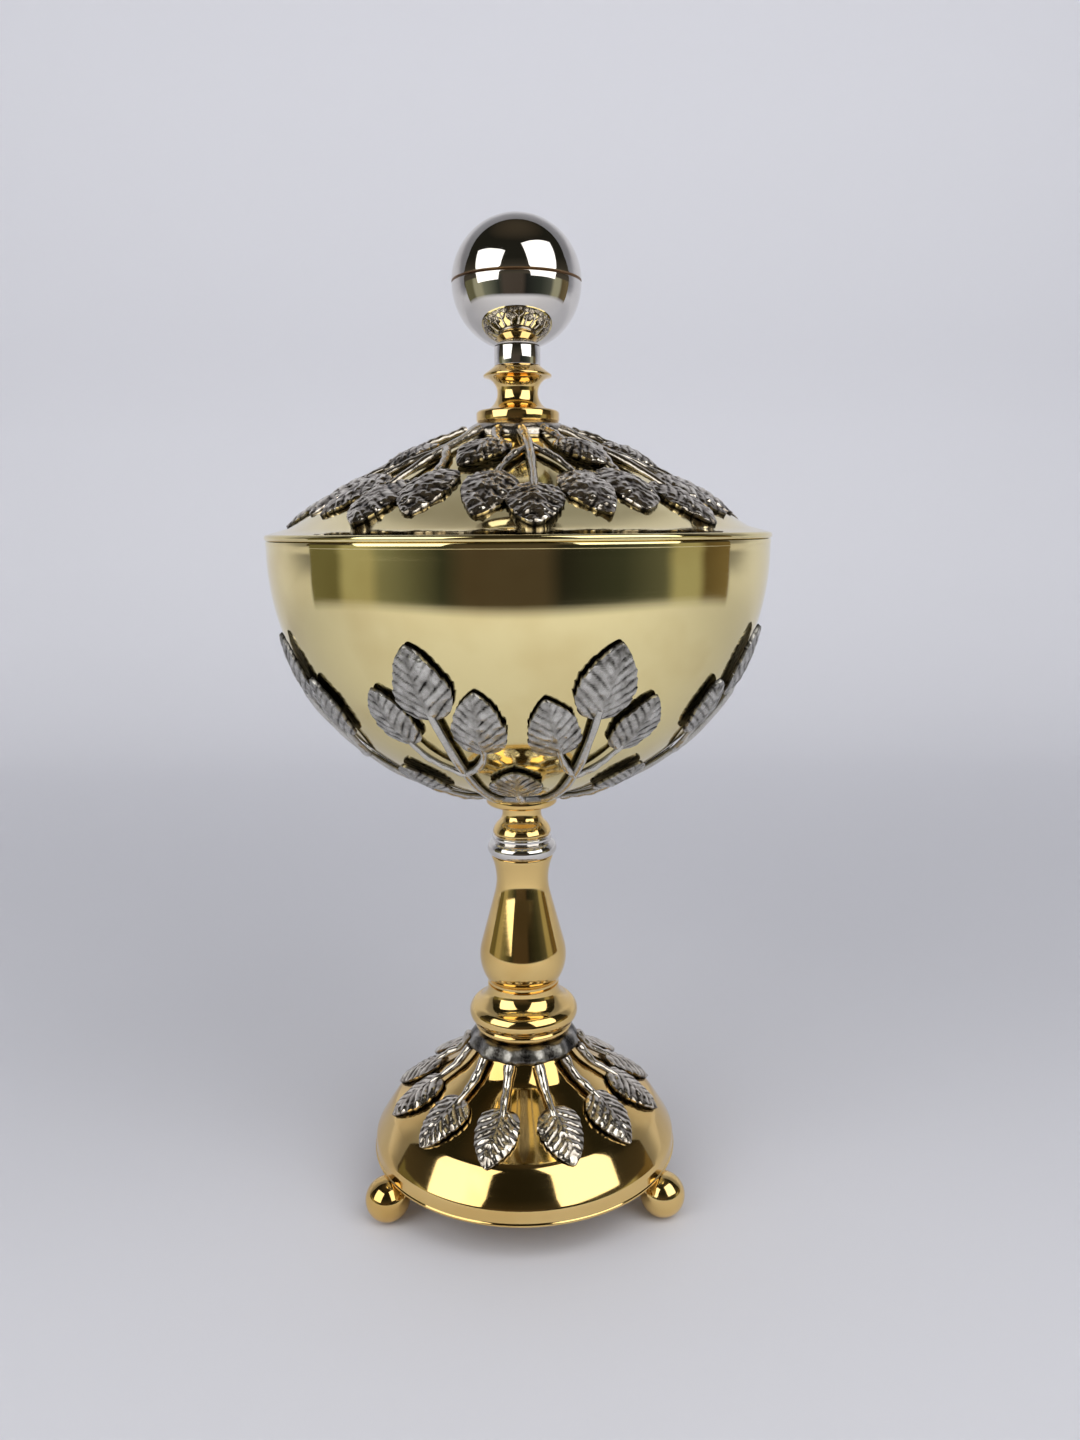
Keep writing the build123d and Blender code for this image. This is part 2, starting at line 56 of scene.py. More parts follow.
def addNode(tree, kind, settings={}, inputs={}):
    node = tree.nodes.new(kind)
    for key, value in settings.items():
        setattr(node, key, value)
    for key, value in inputs.items():
        if isinstance(value, bpy.types.NodeSocket):
            tree.links.new(value, node.inputs[key])
        else:
            node.inputs[key].default_value = value
    return node


def addRamp(tree, factor, stops):
    # stops from left to right, each a place and a colour; a new ramp has the outer two
    node = addNode(tree, "ShaderNodeValToRGB", inputs={"Fac": factor})
    ramp = node.color_ramp.elements
    for end in (0, -1):
        ramp[end].position, ramp[end].color = stops[end][0], toLinear(stops[end][1])
    for place, colour in stops[1:-1]:
        ramp.new(place).color = toLinear(colour)
    return node


def newMaterial(name):
    material = bpy.data.materials.new(name)
    material.use_nodes = True
    tree = material.node_tree
    tree.nodes.clear()
    shader = addNode(tree, "ShaderNodeBsdfPrincipled")
    addNode(tree, "ShaderNodeOutputMaterial", inputs={"Surface": shader.outputs["BSDF"]})
    return material, tree, shader


def plainMetal(tree, shader, colour, rough, bump):
    tree.links.new(colour.outputs["Color"], shader.inputs["Base Color"])
    tree.links.new(rough.outputs["Result"], shader.inputs["Roughness"])
    tree.links.new(bump.outputs["Normal"], shader.inputs["Normal"])
    shader.inputs["Metallic"].default_value = 1.0


def vertsOf(geom):
    return [g for g in geom if isinstance(g, bmesh.types.BMVert)]


def turnTo(bm, verts, angle):
    bmesh.ops.rotate(bm, verts=verts, cent=(0, 0, 0),
                     matrix=Matrix.Rotation(radians(angle), 3, "Z"))


def toMetres(bm):
    bmesh.ops.scale(bm, vec=(mm, mm, mm), verts=bm.verts[:])


def toObject(bm, name, materials):
    mesh = bpy.data.meshes.new(name)
    bm.to_mesh(mesh)
    bm.free()
    for material in materials:
        mesh.materials.append(material)
    made = bpy.data.objects.new(name, mesh)
    bpy.context.scene.collection.objects.link(made)
    return made


def finishPiece(bm, name, materials, body, nodes, sharpAngle):
    bmesh.ops.recalc_face_normals(bm, faces=bm.faces[:])
    piece = toObject(bm, name, materials)
    piece.data.shade_smooth()
    piece.data.set_sharp_from_angle(angle=radians(sharpAngle))
    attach(piece, body)
    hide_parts(*nodes)


# Turned metal: colour where it shines and where it has dulled, least and most roughness, and
# the width of the turning lines

paleBrassLook = {"shine": "#F6E5A8", "tarnish": "#E9D496", "rough": (0.04, 0.10), "lineMm": 0.55}
goldBrassLook = {"shine": "#F0CE88", "tarnish": "#E0B76C", "rough": (0.045, 0.11), "lineMm": 0.45}
nickelLook = {"shine": "#E4E0DA", "tarnish": "#D2CCC2", "rough": (0.03, 0.07), "lineMm": 0.5}
bareBrassLook = {"shine": "#8E7152", "tarnish": "#5F4A38", "rough": (0.28, 0.42), "lineMm": 0.3}
steelLook = {"shine": "#B9B8B4", "tarnish": "#8F8D88", "rough": (0.3, 0.45), "lineMm": 0.4}
latheSkin = {"smearMm": 26, "dull": 0.3, "bright": 0.55, "blur": (0.12, 0.4),
             "lineDepthMm": 0.02, "lineStrength": 0.06}


def lathePolished(name, look):
    # Polished on the lathe: rings so fine that they only blur the mirror along the turning,
    # drawn coarser than real so that they show, and a faint haze of handling.
    material, tree, shader = newMaterial(name)
    coords = addNode(tree, "ShaderNodeTexCoord")
    split = addNode(tree, "ShaderNodeSeparateXYZ", inputs={"Vector": coords.outputs["Object"]})
    flat = addNode(tree, "ShaderNodeCombineXYZ", inputs={
        "X": split.outputs["X"], "Y": split.outputs["Y"]})
    radius = addNode(tree, "ShaderNodeVectorMath", {"operation": "LENGTH"},
                     {0: flat.outputs["Vector"]})
    ringPlace = addNode(tree, "ShaderNodeCombineXYZ", inputs={
        "X": radius.outputs["Value"], "Z": split.outputs["Z"]})
    rings = addNode(tree, "ShaderNodeTexNoise", inputs={
        "Vector": ringPlace.outputs["Vector"], "Scale": 1 / (look["lineMm"] * mm),  # one line
        "Detail": 2.0, "Roughness": 0.6})
    haze = addNode(tree, "ShaderNodeTexNoise", inputs={
        "Vector": coords.outputs["Object"], "Scale": 1 / (latheSkin["smearMm"] * mm),  # one smear
        "Detail": 3.0, "Roughness": 0.55})
    colour = addRamp(tree, haze.outputs["Fac"], [
        (latheSkin["dull"], look["tarnish"]), (latheSkin["bright"], look["shine"])])
    both = addNode(tree, "ShaderNodeMath", {"operation": "MULTIPLY"},
                   {0: rings.outputs["Fac"], 1: haze.outputs["Fac"]})
    rough = addNode(tree, "ShaderNodeMapRange", inputs={
        "Value": both.outputs["Value"],
        "From Min": latheSkin["blur"][0], "From Max": latheSkin["blur"][1],
        "To Min": look["rough"][0], "To Max": look["rough"][1]})
    bump = addNode(tree, "ShaderNodeBump", inputs={
        "Height": rings.outputs["Fac"], "Strength": latheSkin["lineStrength"],
        "Distance": latheSkin["lineDepthMm"] * mm})
    plainMetal(tree, shader, colour, rough, bump)
    return material


# Cast metal: from the hollows to the rubbed ridges, with the size and depth of grain and dents

leafLook = {"deep": "#2A2724", "middle": "#94918A", "rubbed": "#DEDBD3", "rough": (0.36, 0.2),
            "crumpleMm": 2.6, "crumple": 0.3}
coarseLook = {"deep": "#26231F", "middle": "#92887B", "rubbed": "#EEE6D8", "rough": (0.28, 0.11),
              "crumpleMm": 3.2, "crumple": 0.6}
castSkin = {"grainMm": 0.6, "grainDepthMm": 0.12, "grain": 0.3, "patchMm": 3.5, "dentDepthMm": 0.7,
            "speckle": 0.3, "patchy": 0.3, "stops": (0.36, 0.6, 1.0), "wear": (0.4, 1.1)}


def oxidisedSilver(name, look):
    # Cast and silver plated, blackened, then rubbed back: black stays in the veins and the
    # ridges come up bright and half polished, with a slight sandy skin from the mould.
    material, tree, shader = newMaterial(name)
    coords = addNode(tree, "ShaderNodeTexCoord")
    raised = addNode(tree, "ShaderNodeAttribute", {"attribute_name": "raised"})
    grain = addNode(tree, "ShaderNodeTexNoise", inputs={
        "Vector": coords.outputs["Object"], "Detail": 3.0,
        "Scale": 1 / (castSkin["grainMm"] * mm)})  # one grain of the mould's sand
    patch = addNode(tree, "ShaderNodeTexNoise", inputs={
        "Vector": coords.outputs["Object"], "Detail": 2.0,
        "Scale": 1 / (castSkin["patchMm"] * mm)})  # one patch of rubbing
    dents = addNode(tree, "ShaderNodeTexNoise", inputs={
        "Vector": coords.outputs["Object"], "Detail": 1.0,
        "Scale": 1 / (look["crumpleMm"] * mm)})  # one dent
    mixed = addNode(tree, "ShaderNodeMath", {"operation": "MULTIPLY_ADD"}, {
        0: grain.outputs["Fac"], 1: castSkin["speckle"], 2: raised.outputs["Fac"]})
    worn = addNode(tree, "ShaderNodeMath", {"operation": "MULTIPLY_ADD"}, {
        0: patch.outputs["Fac"], 1: castSkin["patchy"], 2: mixed.outputs["Value"]})
    tones = (look["deep"], look["middle"], look["rubbed"])
    colour = addRamp(tree, worn.outputs["Value"], list(zip(castSkin["stops"], tones)))
    rough = addNode(tree, "ShaderNodeMapRange", inputs={
        "Value": worn.outputs["Value"],
        "From Min": castSkin["wear"][0], "From Max": castSkin["wear"][1],
        "To Min": look["rough"][0], "To Max": look["rough"][1]})
    crumple = addNode(tree, "ShaderNodeBump", inputs={
        "Height": dents.outputs["Fac"], "Strength": look["crumple"],
        "Distance": castSkin["dentDepthMm"] * mm})
    bump = addNode(tree, "ShaderNodeBump", inputs={
        "Height": grain.outputs["Fac"], "Strength": castSkin["grain"],
        "Distance": castSkin["grainDepthMm"] * mm, "Normal": crumple.outputs["Normal"]})
    plainMetal(tree, shader, colour, rough, bump)
    return material


paleBrass = lathePolished("brass_spun_and_polished_pale", paleBrassLook)
goldBrass = lathePolished("brass_gilt_turned_and_polished", goldBrassLook)
nickel = lathePolished("nickel_plate_polished", nickelLook)
bareBrass = lathePolished("brass_bare_where_plate_stops", bareBrassLook)
steel = lathePolished("steel_zinc_plated", steelLook)
leafSilver = oxidisedSilver("silver_cast_oxidised_rubbed", leafLook)
# the dented skin makes this one glint in spots
coarseSilver = oxidisedSilver("silver_cast_coarse_oxidised_rubbed", coarseLook)
print("finishes made")


# Turned and spun pieces. A corner of a line is a radius, a height over "z" and, where the line
# is curved, the turn in degrees of the arc that leads there.

latheCut = {"steps": 128, "arcStep": 4, "arcLeast": 4, "edge": 0.15}  # arcStep in degrees
boltBore, studBore = 3.2, 2.7
gold = {"finish": [goldBrass], "slot": "gold_brass"}
pale = {"finish": [paleBrass], "slot": "pale_brass"}
plated = {"finish": [nickel], "slot": "nickel"}


def turned(name, look, node):
    look = {**latheCut, **look}
    bm = bmesh.new()
    low, line = look["z"], look["line"]
    last = bm.verts.new((line[0][0] * mm, 0, (low + line[0][1]) * mm))
    closing = line[:1] if line[0][0] > 0 else []  # a line that starts on the axis stays open
    for corner in line[1:] + closing:
        end = Vector((corner[0] * mm, 0, (low + corner[1]) * mm))
        turn = radians(corner[2]) if len(corner) > 2 else 0
        if turn:
            chord = end - last.co
            centre = (last.co + end) / 2 + Vector((-chord.z, 0, chord.x)) / (2 * tan(turn / 2))
            steps = max(look["arcLeast"], ceil(abs(corner[2]) / look["arcStep"]))
            arc = bmesh.ops.spin(bm, geom=[last], cent=centre, axis=(0, -1, 0), angle=turn,
                                 steps=steps)
            last = vertsOf(arc["geom_last"])[0]
        else:
            last = bmesh.ops.extrude_vert_indiv(bm, verts=[last])["verts"][0]
        last.co = end
    bmesh.ops.spin(bm, geom=bm.verts[:] + bm.edges[:], cent=(0, 0, 0), axis=(0, 0, 1),
                   angle=2 * pi, steps=look["steps"], use_merge=True)
    bmesh.ops.remove_doubles(bm, verts=bm.verts[:], dist=0.002 * mm)
    bmesh.ops.recalc_face_normals(bm, faces=bm.faces[:])
    least = radians(sharpFrom["turned"])
    sharp = [e for e in bm.edges if len(e.link_faces) == 2 and e.calc_face_angle(0) > least]
    bmesh.ops.bevel(bm, geom=sharp, offset=look["edge"] * mm, offset_type="OFFSET", segments=2,
                    profile=0.5, affect="EDGES", clamp_overlap=True, material=-1)
    if "seam" in look:  # the joint of the two halves, where the plate is worn through
        for face in bm.faces:
            away = abs(face.calc_center_median().z - low * mm)
            face.material_index = int(away < look["seam"] * mm)
    if "stalks" in look:  # the cast collar swells where each stalk leaves it
        raised = bm.verts.layers.float.new("raised")
        for vert in bm.verts:
            swell = cos(look["stalks"] * atan2(vert.co.y, vert.co.x) - pi)
            vert[raised] = look["tone"] + look["rub"] * swell
            if hypot(vert.co.x, vert.co.y) > look["swellFrom"] * mm:
                vert.co.xy *= 1 + look["swell"] * swell
    finishPiece(bm, name, look["finish"], look["body"], [node], sharpFrom["turned"])


baseDome = {**gold, "body": "cup", "z": 10.8, "steps": 176, "arcStep": 2, "line": [
    (boltBore, 30.1), (12.5, 30.1), (17.8, 23.4, 24), (34.6, 13.1, 4), (37, 10.9, -24),
    (41, 4.6, -4), (41.35, 3, -22), (41.4, 0.96), (41.7, 0.66), (41.7, 0.44), (41.26, 0, -90),
    (38.4, 0), (38.4, 1.1), (40.1, 1.1), (40, 3), (39.8, 4.2), (36, 10.1, 4), (33.9, 12, 24),
    (17.1, 22.3, -4), (12, 28.9, -24), (boltBore, 28.9)]}
turned("base_spun", baseDome, "base_dome")

baseCollar = {"finish": [leafSilver], "slot": "leaves", "body": "cup", "z": 0, "edge": 0.5,
              "stalks": 12, "swellFrom": 13, "swell": 0.022, "tone": 0.22, "rub": 0.14, "line": [
    (boltBore, 40.95), (12.6, 40.95), (14, 39.2), (15, 39.7), (14.9, 40.9), (13.6, 42.9),
    (12.8, 43.4), (boltBore, 43.4)]}
turned("base_collar_cast", baseCollar, "base_leaf_ring")

stemKnop = {**gold, "body": "cup", "z": 43.4, "line": [
    (boltBore, 0), (11, 0), (13.2, 1.7, 25), (13.2, 2.5), (12.8, 2.9), (13.7, 3.4),
    (13.5, 8.3, 104.2), (9.7, 13.3, -74.5), (9.7, 13.8), (boltBore, 13.8)]}
turned("knop_turned", stemKnop, "stem_knop")

stemBaluster = {**gold, "body": "cup", "z": 57.2, "arcStep": 2, "line": [
    (boltBore, 0), (9.2, 0), (9.2, 0.5), (9.7, 0.5), (9.7, 1.2), (11.76, 7.9, 34.2),
    (11.29, 11.4, 15.2), (7.6, 25.2), (7, 29, -12), (8.2, 35.6, -22), (8.2, 36.2),
    (boltBore, 36.2)]}
turned("baluster_turned", stemBaluster, "stem_baluster")

stemRing = {**plated, "body": "cup", "z": 92.4, "line": [
    (boltBore, 1), (7.9, 1), (8.2, 4.9, 128), (7.5, 5.1), (7.95, 5.6), (7.95, 6.3), (7.5, 6.8),
    (boltBore, 6.8)]}
turned("ring_plated", stemRing, "stem_ring")

stemBulb = {**gold, "body": "cup", "z": 97.0, "line": [
    (boltBore, 2.2), (7.4, 2.2), (7.8, 2.8), (6.2, 5.6, 40), (5.2, 7.8, -40), (5.2, 9.4),
    (6.2, 10.4), (8.8, 10.4), (9.4, 11), (9.4, 12.4), (9, 12.9), (boltBore, 12.9)]}
turned("bulb_turned", stemBulb, "stem_bulb")

bowl = {**pale, "body": "cup", "z": 111.65, "steps": 224, "arcStep": 1.25, "line": [
    (boltBore, 0), (9, 0), (63, 62.35, 81.79), (63, 63.95), (63.1, 63.95), (63.1, 65.1),
    (61.8, 65.1), (61.8, 62.35), (8.94, 1.2, -81.7), (boltBore, 1.2)]}
turned("bowl_spun", bowl, "bowl")

lidDome = {**pale, "body": "lid", "z": 176.85, "steps": 224, "arcStep": 1.25, "line": [
    (studBore, 26.86), (9, 26.86), (57.6, 3, -12), (62.6, 1.6), (62.6, 0, -180), (60.2, 0),
    (60.2, 0.776), (57.2, 1.75), (9, 25.66, 12), (studBore, 25.66)]}
turned("lid_spun", lidDome, "lid_dome")

finialNeck = {**gold, "body": "lid", "z": 205.46, "line": [
    (studBore, 0), (9.9, 0), (10.4, 0.5), (10.4, 2.5), (9.9, 3), (5.1, 7.4, -95),
    (8.5, 11.2, -83.6), (8.5, 11.7), (6.25, 13.35), (5.75, 13.85), (studBore, 13.85)]}
turned("neck_turned", finialNeck, "finial_neck")

finialCollar = {**plated, "body": "lid", "z": 219.31, "line": [
    (studBore, 0), (5.75, 0), (5.75, 4.55), (studBore, 3.71)]}
turned("collar_plated", finialCollar, "finial_collar")

ballHalf = {"finish": [nickel, bareBrass], "slot": "nickel", "body": "lid", "seam": 0.36,
            "z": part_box("ball_upper")[0].z / mm, "steps": 160, "arcStep": 1.5, "edge": 0.05}
ballUpper = {**ballHalf, "line": [
    (0, 16), (16, 0.34, -88.8), (15.75, 0), (14.8, 0), (0, 14.8, 90)]}
ballLower = {**ballHalf, "line": [
    (studBore, -15.77), (16, -0.34, 79), (15.75, 0), (14.8, 0), (studBore, -14.55, -79.5)]}
turned("ball_top_half", ballUpper, "ball_upper")
turned("ball_bottom_half", ballLower, "ball_lower")

locatingRing = {**pale, "body": "lid", "z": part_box("lid_locating_ring")[0].z / mm, "steps": 192,
                "line": [(60.2, 0), (61.4, 0), (61.4, 5.3), (60.2, 5.3)]}
turned("locating_ring_turned", locatingRing, "lid_locating_ring")
print("turned pieces made")


# Ball feet, each with the flat that it stands on

ballFeet = {"ball": 5.9, "reach": 41.9, "centre": 5.7, "angles": (90, 210, 330), "grid": (56, 36)}

for number, angle in enumerate(ballFeet["angles"], 1):
    bm = bmesh.new()
    bmesh.ops.create_uvsphere(bm, u_segments=ballFeet["grid"][0], v_segments=ballFeet["grid"][1],
                              radius=ballFeet["ball"] * mm)
    bmesh.ops.translate(bm, verts=bm.verts[:],
                        vec=Vector((ballFeet["reach"], 0, ballFeet["centre"])) * mm)
    cut = bmesh.ops.bisect_plane(bm, geom=bm.verts[:] + bm.edges[:] + bm.faces[:],
                                 plane_co=(0, 0, 0), plane_no=(0, 0, 1), clear_inner=True)
    rim = [g for g in cut["geom_cut"] if isinstance(g, bmesh.types.BMEdge)]
    bmesh.ops.holes_fill(bm, edges=rim)
    turnTo(bm, bm.verts[:], angle)
    finishPiece(bm, f"foot_turned_{number}", [goldBrass], "cup",
                [f"foot_ball_{number}"], sharpFrom["turned"])
print("feet made")


# Leaves: a flat blade gets its relief, then lies down on the bowl, the lid or the base.
# x runs across a spray, y along it, h stands off the metal underneath, all in millimetres.

bowlLie = {"centre": 174.0, "radius": 63.0, "tilt": 48.0}
lidLie = {"from": 30.0, "line": [
    (9, 203.71), (13, 202.22), (20, 199.41), (28, 195.88), (36, 192), (44, 187.8), (50, 184.41),
    (54, 182.05), (57.6, 179.85), (62.6, 178.45)]}
baseLie = {"from": 14.0, "line": [
    (13.2, 40.6), (14.3, 38.8), (15.8, 36.7), (17.8, 34.2), (25, 29.8), (30, 26.8), (34.6, 23.9),
    (37, 21.7), (39, 18.5), (41, 15.4)]}
cornerBlend = 3  # mm of flank over which the slopes on both sides of a corner blend


def onBowl(x, y, h):
    t = radians(bowlLie["tilt"])
    out = sqrt(max((bowlLie["radius"] + h) ** 2 - x * x - y * y, 0))
    return Vector((y * cos(t) + out * sin(t), x, bowlLie["centre"] + y * sin(t) - out * cos(t)))


def downFlank(lie, x, y, h):
    # walks down the line of a flank to y, then steps out by h
    way, passed = lie["from"] + y, 0
    normal, place = Vector((0, 0)), None
    for a, b in zip(lie["line"], lie["line"][1:]):
        run = hypot(b[0] - a[0], b[1] - a[1])
        share = exp(-((way - passed - run / 2) / cornerBlend) ** 2)
        normal += Vector((a[1] - b[1], b[0] - a[0])) * share
        if place is None and (way <= passed + run or b == lie["line"][-1]):
            place = Vector(a).lerp(Vector(b), (way - passed) / run)
        passed += run
    r, z = place + normal.normalized() * h
    return Vector((r * cos(x / r), r * sin(x / r), z))


def onLid(x, y, h):
    return downFlank(lidLie, x, y, h)


def onBase(x, y, h):
    return downFlank(baseLie, x, y, h)


# broadest and full shape the outline, tooth and ragged its edge; thick, rib and vein in mm
leafCut = {"grid": (40, 56), "thick": 0.7, "underTuck": 0.97, "underFollow": 0.6,
           "broadest": 0.74, "full": (0.48, 0.2), "tooth": 0.07, "ragged": 0.11,
           "rib": 0.3, "ribWide": 0.4, "ribClear": (0.2, 0.8), "panels": 7.0,
           "veinSlant": 0.95, "veinCurve": 0.035, "veinStray": 0.22, "veinWide": 0.25,
           "veinDeep": 0.1, "rubPanel": 0.14, "rubWrinkle": 0.16, "rubRib": 0.12}


def lumps(x, y, z):
    return noise.noise(Vector((x, y, z)))


def blade(bm, raised, look, size, at, lean, rnd):
    # one cast leaf: panels puff up between cut-in veins, the edge steps back where a vein ends
    cut = leafCut
    length, width = size
    grid = bmesh.ops.create_grid(bm, x_segments=cut["grid"][0], y_segments=cut["grid"][1],
                                 size=0.5)
    top = grid["verts"]
    faces = list(dict.fromkeys(f for v in top for f in v.link_faces))
    copy = bmesh.ops.extrude_face_region(bm, geom=faces, use_keep_orig=True)
    under = vertsOf(copy["geom"])
    bend, phase = rnd.uniform(-0.8, 0.8), rnd.random()
    curl, skin = rnd.uniform(-0.1, 0.5), rnd.uniform(0, 60)
    spacing = length / cut["panels"]
    c, s = cos(radians(lean)), sin(radians(lean))
    for vert in top + under:
        across, along = vert.co.x * 2, vert.co.y + 0.5  # -1 to 1 and 0 to 1
        y = along * length
        fullness = cut["full"][0] + cut["full"][1] * along
        half = max(sin(pi * along ** cut["broadest"]), 0) ** fullness
        d = abs(across) * half * width / 2
        side = 0.5 if across > 0 else 0
        # u runs from 0 to 1 over each panel, from one side vein to the next
        stray = cut["veinStray"] * lumps(across * 1.5, 4 * along, skin + 20)
        slant = y - cut["veinSlant"] * d + cut["veinCurve"] * d * d
        u = (slant / spacing + phase + side + stray) % 1
        weak = 0.75 + 0.9 * lumps(across * 2, 5 * along, skin + 9)
        vein = (exp(-(min(u, 1 - u) * spacing / cut["veinWide"]) ** 2)
                * min(1, d / 0.8) * max(0, weak))
        panel = sin(pi * u) ** 0.5
        # the edge
        uneven = lumps(3 * along, 2 + side, skin) + 0.5 * lumps(9 * along, 5 + side, skin)
        reach = max(half, 0.04) * width / 2 * (
            1 + cut["tooth"] * (u - 0.6) * min(1, along * 4) + cut["ragged"] * uneven)
        x = across * reach + bend * along * along
        # the relief, which fades towards the edge, the ends and the midrib
        wrinkle = lumps(x * 0.45, y * 0.45, skin) + 0.6 * lumps(x, y, skin)
        inside = 1 - abs(across) ** 6
        ends = min(1, (1 - along) * 8) * min(1, along * 10 + 0.2)
        rib = exp(-(d / cut["ribWide"]) ** 2) * (1 - 0.8 * along)
        offRib = min(1, max(0, (d - cut["ribClear"][0]) / cut["ribClear"][1]))
        relief = (look["puff"] * panel * inside * offRib * ends + cut["rib"] * rib
                  + look["wrinkle"] * wrinkle - cut["veinDeep"] * vein)
        crown = (look["crown"] * (1 - abs(across) ** 1.5) * half + look["bow"] * sin(pi * along)
                 + curl * along ** 4)
        rubbed = (cut["rubPanel"] * panel * offRib + cut["rubWrinkle"] * wrinkle
                  + cut["rubRib"] * rib)
        vert[raised] = min(1, max(0, look["tone"] - look["vein"] * vein + look["rub"] * rubbed))
        vert.co = (x, y, look["lift"] + crown + relief)
    for vert in under:
        vert.co.z = (look["lift"] - cut["thick"]
                     + cut["underFollow"] * (vert.co.z - look["lift"]))
        vert.co.x *= cut["underTuck"]
        vert[raised] = 0.0
    for vert in top + under:
        x, y, h = vert.co
        vert.co = look["lie"](at[0] + x * c + y * s, at[1] - x * s + y * c, h)


rodCut = {"grid": (12, 26), "lumps": (0.08, 0.05), "back": 1.1, "belly": 0.5, "raise": 0.6,
          "tone": 0.34, "rub": 0.3}


def rod(bm, raised, look, line, wide, lift, rnd):
    # half-round cast stem along a curve of three points, thick at the root
    cut = rodCut
    grid = bmesh.ops.create_grid(bm, x_segments=cut["grid"][0], y_segments=cut["grid"][1],
                                 size=0.5)
    (ax, ay), (bx, by), (cx, cy) = line
    lump = rnd.uniform(0, 6)
    for vert in grid["verts"]:
        turn, along = (vert.co.x + 0.5) * 2 * pi, vert.co.y + 0.5
        k = 1 - along
        x = k * k * ax + 2 * k * along * bx + along * along * cx
        y = k * k * ay + 2 * k * along * by + along * along * cy
        dx, dy = k * (bx - ax) + along * (cx - bx), k * (by - ay) + along * (cy - by)
        size = hypot(dx, dy) or 1
        girth = (wide[0] * k + wide[1] * along) / 2 * (
            1 + cut["lumps"][0] * sin(lump + 9 * along) + cut["lumps"][1] * sin(23 * along))
        across, tall = girth * cos(turn), girth * sin(turn)
        tall *= cut["back"] if tall > 0 else cut["belly"]
        vert[raised] = cut["tone"] + cut["rub"] * sin(turn)
        vert.co = look["lie"](x + across * dy / size, y - across * dx / size,
                              lift[0] * k + lift[1] * along + cut["raise"] * girth + tall)
    bmesh.ops.remove_doubles(bm, verts=grid["verts"], dist=0.01)  # joins the grid into a tube


def closeEnds(bm):
    bmesh.ops.holes_fill(bm, edges=[e for e in bm.edges if e.is_boundary], sides=0)


def startCasting():
    bm = bmesh.new()
    return bm, bm.verts.layers.float.new("raised")


# The side leaves hang on twigs that leave the stem below the fork. Scatter is the most that x, y
# and lean of a leaf stray; intoLeaf is how far the stem and a twig run under theirs.
twig = {"wide": (2.1, 1.5), "below": 3, "slack": 0.6, "intoLeaf": (3, 2), "scatter": (0.6, 0.8, 4)}


def spray(name, look, number, angle, body, node, seed):
    rnd = random.Random(seed)
    bm, raised = startCasting()
    if number in look["posed"]:  # the ones that the photograph shows square on
        (forkX, forkY), leaves = look["posed"][number]
    else:
        forkX, forkY = look["fork"]
        offX, offY, offLean = twig["scatter"]
        leaves = [(size, x + rnd.uniform(-offX, offX), y + rnd.uniform(-offY, offY),
                   lean + rnd.uniform(-offLean, offLean)) for size, x, y, lean in look["leaves"]]
    low, high = look["stemLift"]
    stemEnd, twigEnd = twig["intoLeaf"]
    for place, (size, x, y, lean) in enumerate(leaves):
        dx, dy = sin(radians(lean)), cos(radians(lean))
        if place == 0:
            line = ((0, look["root"]), (forkX * 1.2, forkY), (x + stemEnd * dx, y + stemEnd * dy))
            rod(bm, raised, look, line, look["stem"], (low, high), rnd)
        else:
            reach = hypot(x - forkX, y - forkY) * twig["slack"]
            line = ((forkX * 0.8, forkY - twig["below"]), (x - dx * reach, y - dy * reach),
                    (x + twigEnd * dx, y + twigEnd * dy))
            rod(bm, raised, look, line, twig["wide"], ((low + high) / 2, high), rnd)
        blade(bm, raised, look, size, (x, y), lean, rnd)
    closeEnds(bm)
    toMetres(bm)
    turnTo(bm, bm.verts[:], angle)
    finishPiece(bm, name, [look["metal"]], body, [node], sharpFrom["cast"])


# what the leaves of a spray share with the small ones on the ring below them
bowlCast = {"metal": leafSilver, "lie": onBowl, "root": -36.7, "crown": 0.6, "bow": 0.3,
            "puff": 0.07, "tone": 0.32, "vein": 0.28, "rub": 1.2}
lidCast = {"metal": coarseSilver, "lie": onLid, "root": -25, "crown": 0.9,
           "puff": 0.22, "wrinkle": 0.42, "tone": 0.2, "vein": 0.3, "rub": 3.0}

# each leaf: (length, width), x, y, lean in degrees; the first is the one at the end of the stem
bowlSpray = {
    **bowlCast, "lift": 1.3, "stemLift": (-0.1, 0.8), "stem": (2.0, 1.9), "wrinkle": 0.24,
    "fork": (0, -6), "leaves": [
        ((17.8, 12.8), 0, 10.4, 0), ((17, 11.8), 8.8, -0.6, 13), ((16.4, 11.4), -8.4, 0.4, -16)],
    "posed": {
        6: ((4.2, -6.6), [((17.8, 13.2), 1.9, 10, -8.6), ((17.6, 12), 10.4, -1.2, 7.3),
                          ((16.1, 11.2), -6.2, 1.4, -18.9)]),
        7: ((-3.6, -8.4), [((18, 13.6), -5, 10, 7), ((17, 12), -9.8, -1.8, -24.5),
                           ((16.2, 11.2), 4, -0.8, 20.6)])}}
lidSpray = {
    **lidCast, "lift": 0.5, "stemLift": (0.2, 0.5), "stem": (2.6, 1.8), "bow": 0.5,
    "fork": (0, -9.5), "leaves": [
        ((19, 13), 0, 5.4, 0), ((20.6, 12), 8.2, 0, 20), ((20.6, 12), -7.8, 0, -20)],
    "posed": {
        6: ((0.4, -9.5), [((20, 13), -0.3, 4, 8), ((21, 12), 8, -0.4, 21),
                          ((20.6, 12), -8, 0, -20)]),
        7: ((1.3, -9.9), [((17.4, 13), 0.6, 6.6, -1), ((21, 11.8), 9.4, 0.3, 20),
                          ((21, 11.8), -6.5, 0.3, -17.5)])}}

